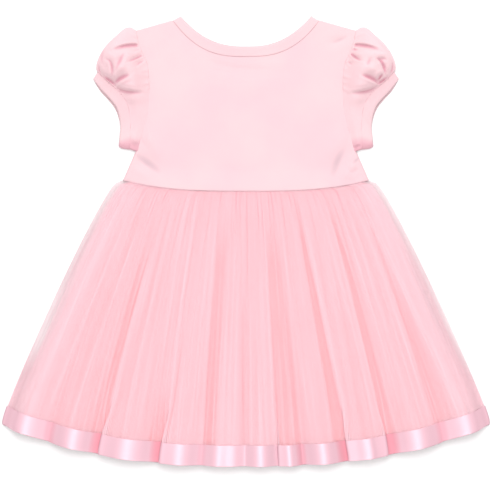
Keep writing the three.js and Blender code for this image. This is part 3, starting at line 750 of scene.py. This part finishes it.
def swell(u, v):
    """Height of the net's round crests between its troughs, as a share of the highest."""
    lines = [-np.ones(v.shape), *(lerp(row["waist"], row["hem"], v) for row in TROUGHS), np.ones(v.shape)]
    floors = [0, *(1 - row["depth"] for row in TROUGHS), 0]
    level = np.zeros(np.broadcast(u, v).shape)
    for left, right, low, next_low in zip(lines, lines[1:], floors, floors[1:]):
        share = np.clip((u - left) / (right - left), 0, 1)
        floor = lerp(low, next_low, share)
        leaning = share - CREST_LEAN * u * np.sin(math.pi * share)
        roundness = lerp(CREST_ROUNDNESS, HEM_ROUNDNESS, smoothstep(SMOOTH_FROM, RIBBON_TOP, v))
        crest = (np.sin(math.pi * leaning) ** 2 + 0.012) ** roundness
        opened = lerp(1, lerp(floor, 1, crest), lerp(CLOSED_ABOVE, 1, smoothstep(0.5, 0.95, v)))
        level = np.where((u >= left) & (u <= right), opened, level)
    for row in CREST_DIPS:
        off = u - lerp(row["waist"], row["hem"], v)
        level = level - row["depth"] * two_sided(off, row["left"], row["right"]) * v
    return level


def cavity(u, v):
    """How deep in the folds each place lies, 0 on the crests to 1 in the deepest troughs."""
    depth = np.zeros(np.broadcast(u, v).shape)
    for row in TROUGHS:
        off = u - lerp(row["waist"], row["hem"], v)
        depth += row["depth"] ** 2 * two_sided(off, row["left"], row["right"])
    return np.clip(depth, 0, 1)


def skirt_gathers(u, v):
    """How deep the fine gathers pinch the net in, 0 between them to about 1."""
    random = np.random.default_rng(GATHER_SEED)
    depth = np.zeros(np.broadcast(u, v).shape)
    for i in range(GATHERS):
        centre = (i + 0.5 + random.uniform(-0.35, 0.35)) / GATHERS * 2 - 1
        drift = random.uniform(-0.03, 0.03)
        reach = random.choice(GATHER_REACHES)
        size = random.uniform(0.4, 1.0)
        width = random.uniform(0.002, 0.0045)
        t = (u - centre - drift * v) / (width * (1 + 0.8 * v / reach))
        depth += size * np.clip(1 - v / reach, 0, 1) ** 1.3 * np.exp(-t * t)
    return np.minimum(depth, 1.2)


def net_layers(u, v):
    """How many more or fewer layers of net lie at each place, from the tables of panels and lines."""
    layers = np.zeros(np.broadcast(u, v).shape)
    for row in PANELS:
        (left, right), (left_hem, right_hem) = row["waist"], row["hem"]
        from_left = (u - lerp(left, left_hem, v)) / row["soft"][0]
        from_right = (lerp(right, right_hem, v) - u) / row["soft"][1]
        shown = smoothstep(-1, 1, from_left) * smoothstep(-1, 1, from_right)
        layers += row["more"] * shown * smoothstep(row["from"] - 0.03, row["from"] + 0.2, v)
    for row in FOLD_LINES:
        off = u - lerp(row["waist"], row["hem"], v)
        reach = smoothstep(row["from"] - 0.06, row["from"] + 0.1, v)
        reach = reach * (1 - smoothstep(row["to"] - 0.08, row["to"] + 0.05, v))
        layers += row["more"] * reach * two_sided(off, row["left"], row["right"])
    return layers


def side_layers(s, v):
    """How many more layers of net lie at the skirt's sides, where it folds round, and at its edge."""
    to_side = np.abs(s)
    thinning = lerp(1.3, 0.7, smoothstep(0.6, RIBBON_TOP, v))
    return 0.4 * smoothstep(0.75, 0.9, to_side) - thinning * smoothstep(0.9, 1, to_side)


def pleated(s, v):
    """Sideways shift and height of the folded-over pleats, for cloth at s."""
    shift = np.zeros(np.broadcast(s, v).shape)
    rise = np.zeros(shift.shape)
    for row in PLEATS:
        t = (s - lerp(row["waist"], row["hem"], v)) / row["width"]
        strength = smoothstep(PLEATS_FROM, RIBBON_TOP, v)
        fold = math.sqrt(2) * t * np.exp(0.5 - t * t)
        shift -= strength * (0.7 * row["width"] + row["overlap"] / 2) * fold
        shown = t * row["over"]
        rise += strength * row["rise"] * np.exp(-(((shown - 1.1) / 1.2) ** 2))
        in_ribbon = smoothstep(STEP_TO, RIBBON_TOP, v)
        rise += in_ribbon * FOLDED_EDGE * row["rise"] * np.exp(-(((shown - 0.75) / 0.25) ** 2))
        rise += strength * row["rise"] * np.tanh(1.4 * shown) * np.exp(-((t / 2.2) ** 2))
    return shift, rise


def net_back_surface(s, v):
    """The plan and height of the uppermost net panel for cloth at s across it."""
    shift, rise = pleated(s, v)
    u = s + shift
    x, y = skirt_plan(u, v)
    high = lerp(SWELL_AT_WAIST, SWELL_AT_HEM, np.sqrt(v)) * swell(s, v)
    puffed = GATHER_DEPTH * (lerp(0.9, 0.3, np.sqrt(v)) - skirt_gathers(s, v))
    above_hem = 1 - smoothstep(SMOOTH_FROM, RIBBON_TOP, v)
    relief = high + puffed + LAYERS_RELIEF * above_hem * net_layers(s, v) + rise
    from_waist = smoothstep(-0.008, 0.006, v) * lerp(0.35, 1, smoothstep(0, 0.09, v))
    relief = relief * from_waist + 0.5 * undulation(x, y, 60, 8) * v * above_hem
    lining_top = ribbon_step(v) + NET + 3 * GAP + 2 * LINING
    over_lining = lining_top + 0.4 + np.maximum(relief, 0.1)
    over_net = ribbon_step(v) + NET + GAP
    down = smoothstep(SIDE_FOLD_FROM, 1, np.abs(s))
    z = lerp(over_lining, over_net, down)
    y = y + 1.6 * (1 - swell(s, v)) * v**6
    return x, y, z


def skirt_rows(count):
    """Rows from waist to hem, closer together at the waist."""
    t = np.linspace(0, 1, count)
    return 0.35 * t**2.2 + 0.65 * t


def make_net_back():
    s, v = np.meshgrid(np.linspace(-1, 1, 960), skirt_rows(48))
    x, y, z = net_back_surface(s, v)
    cut = stack(s * NET_HALF_CUT, v * SKIRT_LENGTH)
    # How deep the gathers pinch the net in: it thins the net's layers and sets its painted shade in their
    # valleys
    pinched = skirt_gathers(s, v)
    layers = NET_LAYERS + net_layers(s, v) - PINCHED_THINNER * pinched + side_layers(s, v)
    shown = {"layers": layers, "pinched": pinched}
    return cloth("net_back_panel", stack(x, y, z + NET_SHELL), NET_SHELL, cut, attributes=shown)


def make_net_front():
    s, v = np.meshgrid(np.linspace(-1, 1, 160), skirt_rows(50))
    x, y = skirt_plan(s, v)
    z = ribbon_step(v) + 0.1 + 0.3 * (1 - skirt_gathers(s, v))
    cut = stack(s * NET_HALF_CUT, v * SKIRT_LENGTH)
    layers = NET_LAYERS + 0.3 * undulation(s * 60, v * 2, 4, 21) + side_layers(s, v)
    shown = {"layers": layers, "pinched": np.zeros(s.shape)}
    return cloth("net_front_panel", stack(x, y, z + NET_SHELL), NET_SHELL, cut, attributes=shown)


def make_lining(name, level, seed):
    s, v = np.meshgrid(np.linspace(-1, 1, 150), skirt_rows(60) * LINING_END)
    x, y = skirt_plan(s * LINING_SHARE, v)
    z = ribbon_step(v) + level + 0.25 * undulation(s * 200, v * 40, 18, seed) * v
    return cloth(f"lining_{name}_panel", stack(x, y, z), LINING_SHELL, stack(x, y))


def make_ribbon():
    across = [0, 0.012, 0.03, *np.linspace(0.1, 0.9, 9), 0.97, 0.988, 1]
    s, v = np.meshgrid(np.linspace(-1, 1, 640), lerp(RIBBON_TOP, 1, np.array(across)))
    x, y, z = net_back_surface(s, v)
    net_face = stack(x, y, z + NET_SHELL)
    up = outward(net_face, False)
    roof = net_face + up * (GAP + RIBBON_SHELL)
    s2, v2 = np.meshgrid(np.linspace(-1, 1, 150), v[:, 0])
    x2, y2 = skirt_plan(s2, v2)
    floor = stack(x2, y2, ABOVE_TABLE)
    for face in (roof, floor):
        face[:, 0, 0] -= RIBBON_PAST_NET
        face[:, -1, 0] += RIBBON_PAST_NET
    width = (v - RIBBON_TOP) * SKIRT_LENGTH
    width2 = (v2 - RIBBON_TOP) * SKIRT_LENGTH
    cut = ring(stack(s * NET_HALF_CUT, width), stack(s2 * NET_HALF_CUT + 700, width2))
    # How deep in the troughs the ribbon lies: it sets the satin's roughness and its painted trough shade
    depth = np.concatenate([cavity(s, v), np.zeros(s2.shape)], axis=1)
    grid = ring(roof, floor)
    return cloth("hem_ribbon_band", grid, RIBBON_SHELL, cut, is_tube=True, attributes={"cavity": depth})


# Materials


class Nodes:
    """Short ways to add the nodes of one material."""

    def __init__(self, name):
        self.material = bpy.data.materials.new(name)
        self.material.use_nodes = True
        self.tree = self.material.node_tree
        self.shader = self.tree.nodes["Principled BSDF"]

    def add(self, kind, **settings):
        node = self.tree.nodes.new(kind)
        for key, value in settings.items():
            setattr(node, key, value)
        return node

    def link(self, source, target):
        self.tree.links.new(source, target)

    def fill(self, socket, value):
        if isinstance(value, bpy.types.NodeSocket):
            self.link(value, socket)
        else:
            socket.default_value = value

    def math(self, operation, a, b=0.0):
        node = self.add("ShaderNodeMath", operation=operation)
        self.fill(node.inputs[0], a)
        self.fill(node.inputs[1], b)
        return node.outputs[0]

    def place(self):
        """The flat cloth's x and y in metres."""
        uv = self.add("ShaderNodeUVMap", uv_map="cut")
        split = self.add("ShaderNodeSeparateXYZ")
        self.link(uv.outputs[0], split.inputs[0])
        return split.outputs[0], split.outputs[1]

    def wave(self, at, length, phase=0.0):
        """A cosine of the given length in metres."""
        turned = self.math("MULTIPLY", at, 2 * math.pi / length)
        return self.math("COSINE", self.math("ADD", turned, phase))

    def noise(self, scale, detail=3.0, stretch=(1, 1, 1), on_cloth=False):
        """Noise fixed in space, or on the flat cloth so that it follows the folds."""
        where = self.add("ShaderNodeTexCoord").outputs["Object"]
        if on_cloth:
            where = self.add("ShaderNodeUVMap", uv_map="cut").outputs[0]
        mapping = self.add("ShaderNodeMapping")
        mapping.inputs["Scale"].default_value = stretch
        noise = self.add("ShaderNodeTexNoise")
        noise.inputs["Scale"].default_value = scale
        noise.inputs["Detail"].default_value = detail
        self.link(where, mapping.inputs["Vector"])
        self.link(mapping.outputs[0], noise.inputs["Vector"])
        return noise.outputs[0]

    def ramp(self, factor, low, high, start=0.3, end=0.7):
        """A colour that goes from low to high as the factor goes from start to end."""
        ramp = self.add("ShaderNodeValToRGB")
        first, last = ramp.color_ramp.elements
        first.position, last.position = start, end
        first.color, last.color = (*low, 1), (*high, 1)
        self.link(factor, ramp.inputs[0])
        return ramp.outputs[0]

    def spread(self, value, start, end, low, high):
        """A number that goes from low to high as the value goes from start to end."""
        node = self.add("ShaderNodeMapRange")
        self.fill(node.inputs["Value"], value)
        for name, number in (("From Min", start), ("From Max", end), ("To Min", low), ("To Max", high)):
            node.inputs[name].default_value = number
        return node.outputs[0]

    def bump(self, height, depth, below=None):
        bump = self.add("ShaderNodeBump")
        bump.inputs["Strength"].default_value = 1
        bump.inputs["Distance"].default_value = depth
        self.link(height, bump.inputs["Height"])
        if below is not None:
            self.link(below, bump.inputs["Normal"])
        return bump.outputs[0]

    def set(self, **values):
        for key, value in values.items():
            self.fill(self.shader.inputs[key.replace("_", " ")], value)


def jersey_material(name, light, shade, shade_in_folds):
    """Fine cotton jersey: columns of small V-shaped stitches, and a soft bloom."""
    nodes = Nodes(name)
    x, y = nodes.place()
    column = nodes.wave(x, STITCH_WIDTH)
    lean = nodes.math("MULTIPLY", nodes.math("ABSOLUTE", nodes.wave(x, 2 * STITCH_WIDTH)), 2.2)
    up = nodes.math("MULTIPLY", y, 2 * math.pi / STITCH_HEIGHT)
    course = nodes.math("COSINE", nodes.math("ADD", up, lean))
    stitch = nodes.math("ADD", column, nodes.math("MULTIPLY", course, 0.7))
    soft = nodes.bump(nodes.noise(900), 0.00006)
    # Painted shade: the colour turns darker and pinker where the fold attribute marks a crease, a seam or
    # the bunched underarm
    fold = nodes.add("ShaderNodeAttribute", attribute_name="fold").outputs["Fac"]
    colour = nodes.add("ShaderNodeMix", data_type="RGBA")
    nodes.link(fold, colour.inputs["Factor"])
    nodes.link(nodes.ramp(nodes.noise(14), shade, light, 0.4, 0.6), colour.inputs[6])
    colour.inputs[7].default_value = (*shade_in_folds, 1)
    nodes.set(
        Base_Color=colour.outputs[2],
        Roughness=0.85,
        Sheen_Weight=0.25,
        Sheen_Roughness=0.5,
        Specular_IOR_Level=0.25,
        Normal=nodes.bump(stitch, 0.00005, soft),
    )
    return nodes.material


def net_material():
    """Soft net: six-sided holes between thin threads, closer where the cloth lies in more layers."""
    nodes = Nodes("skirt_net")
    x, y = nodes.place()
    half_x = nodes.math("MULTIPLY", x, 0.5)
    slant_y = nodes.math("MULTIPLY", y, math.sqrt(3) / 2)
    first = nodes.wave(x, NET_CELL)
    second = nodes.wave(nodes.math("ADD", half_x, slant_y), NET_CELL)
    third = nodes.wave(nodes.math("SUBTRACT", half_x, slant_y), NET_CELL)
    holes = nodes.math("ADD", nodes.math("ADD", first, second), third)
    layers = nodes.add("ShaderNodeAttribute", attribute_name="layers").outputs["Fac"]
    pinched = nodes.add("ShaderNodeAttribute", attribute_name="pinched").outputs["Fac"]
    streaks = nodes.math("SUBTRACT", nodes.noise(300, 2, (1, 0.02, 1), on_cloth=True), 0.5)
    broad = nodes.math("SUBTRACT", nodes.noise(60, 2, (1, 0.03, 1), on_cloth=True), 0.5)
    hairs = nodes.noise(520, 1, (1, 0.012, 1), on_cloth=True)
    uneven = nodes.math("ADD", nodes.math("MULTIPLY", streaks, 0.6), nodes.math("MULTIPLY", broad, 0.8))
    uneven = nodes.math("ADD", uneven, nodes.spread(hairs, 0.58, 0.72, 0, 0.45))
    density = nodes.math("ADD", layers, uneven)
    edge = nodes.math("ADD", nodes.math("MULTIPLY", density, 2.0), -1.75)
    open_share = nodes.math("SUBTRACT", holes, edge)
    nodes.set(
        # Painted shade: the net's pink deepens in the valleys of the gathers
        Base_Color=nodes.ramp(pinched, *NET_PINK_AND_GATHER_SHADE, 0.4, 1.2),
        Roughness=0.6,
        Sheen_Weight=0.2,
        Specular_IOR_Level=0.3,
        Alpha=nodes.spread(open_share, -0.35, 0.35, 0.8, 0.06),
        Normal=nodes.bump(streaks, 0.0005),
    )
    return nodes.material


def lining_material():
    """A plain, slightly lustrous weave."""
    nodes = Nodes("skirt_lining")
    x, y = nodes.place()
    weave = nodes.math("MULTIPLY", nodes.wave(x, 0.0006), nodes.wave(y, 0.0006))
    nodes.set(
        Base_Color=nodes.ramp(nodes.noise(9), *reversed(LINING_PINKS)),
        Roughness=0.55,
        Sheen_Weight=0.2,
        Normal=nodes.bump(weave, 0.00003),
    )
    return nodes.material


def satin_material():
    """Satin ribbon: smooth along its length, with fine lengthwise threads and slubs."""
    nodes = Nodes("hem_ribbon_satin")
    threads = nodes.wave(nodes.place()[1], 0.0004)
    slubs = nodes.noise(240, 2, (0.1, 1, 1))
    depth = nodes.add("ShaderNodeAttribute", attribute_name="cavity").outputs["Fac"]
    nodes.set(
        # Painted shade: the satin is a deeper, redder pink in its troughs
        Base_Color=nodes.ramp(depth, *SATIN_PINK_AND_TROUGH_SHADE, 0.3, 1.0),
        Metallic=0.45,
        Roughness=nodes.spread(depth, 0.1, 0.45, 0.36, 0.6),
        Specular_IOR_Level=0.8,
        Normal=nodes.bump(threads, 0.000003, nodes.bump(slubs, 0.00002)),
    )
    return nodes.material


# Studio


def make_camera():
    data = bpy.data.cameras.new("camera")
    data.lens = LENS
    data.sensor_width = SENSOR
    data.clip_end = 20
    camera = bpy.data.objects.new("camera", data)
    bpy.context.scene.collection.objects.link(camera)
    camera.location = (*(c * MM for c in FRAME_CENTRE), FRAME_WIDTH * MM * LENS / SENSOR)
    bpy.context.scene.camera = camera


def make_floor():
    bpy.ops.mesh.primitive_plane_add(size=TABLE_SIZE, location=(0, 0, -0.0002))
    floor = bpy.context.object
    floor.name = "table_top"
    nodes = Nodes("white_table")
    nodes.set(
        Base_Color=nodes.ramp(nodes.noise(4), *TABLE_WHITES),
        Roughness=0.9,
        Specular_IOR_Level=0.1,
    )
    floor.data.materials.append(nodes.material)


def make_area_light(name, place, size, power):
    """A lamp that points at the middle of the table."""
    data = bpy.data.lights.new(name, "AREA")
    data.shape = "RECTANGLE"
    data.size, data.size_y = size
    data.energy = power
    light = bpy.data.objects.new(name, data)
    light.location = place
    light.rotation_euler = (Vector() - Vector(place)).to_track_quat("-Z", "Y").to_euler()
    light.visible_camera = False
    bpy.context.scene.collection.objects.link(light)


def make_studio():
    world = bpy.data.worlds.new("studio")
    bpy.context.scene.world = world
    world.use_nodes = True
    background = world.node_tree.nodes["Background"]
    background.inputs["Color"].default_value = (1, 1, 1, 1)
    background.inputs["Strength"].default_value = WORLD_LIGHT
    make_area_light("key", **KEY_LIGHT)
    make_area_light("overhead", **OVERHEAD_LIGHT)
    bpy.context.scene.view_settings.view_transform = "Standard"
    bpy.context.scene.view_settings.look = "None"


def dress(piece, node, material):
    """Puts a finished cloth piece in place of its CAD solid."""
    piece.data.materials.append(material)
    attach(piece, "root")
    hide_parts(node)


def main():
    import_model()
    make_camera()
    make_floor()
    make_studio()
    body = jersey_material("bodice_jersey", *BODICE_PINKS, SHADE_IN_FLAT_FOLDS)
    sleeve = jersey_material("sleeve_jersey", *SLEEVE_PINKS, SHADE_IN_BUNCHED_FOLDS)
    band = jersey_material("binding_jersey", *BAND_PINKS, SHADE_IN_BUNCHED_FOLDS)
    net = net_material()
    lining = lining_material()
    satin = satin_material()
    dress(make_bodice_back(), "bodice_back", body)
    dress(make_bodice_front(), "bodice_front", body)
    binding = make_neck_binding()
    dress(binding, "neck_binding", band)
    for name, side, creases, seed in (
        ("left", -1, LEFT_SLEEVE_CREASES, 31),
        ("right", 1, RIGHT_SLEEVE_CREASES, 47),
    ):
        puff = make_sleeve(name, side, creases, seed)
        cuff = make_cuff(name, side, seed + 1)
        dress(puff, f"sleeve_{name}", sleeve)
        dress(cuff, f"cuff_{name}", band)
    dress(make_net_back(), "net_back", net)
    dress(make_net_front(), "net_front", net)
    for name, level, seed, below in (
        ("front", NET + GAP + LINING, 17, "net_front"),
        ("back", NET + 2 * GAP + 2 * LINING, 19, "lining_front"),
    ):
        panel = make_lining(name, level, seed)
        dress(panel, f"lining_{name}", lining)
    dress(make_ribbon(), "hem_ribbon", satin)


main()
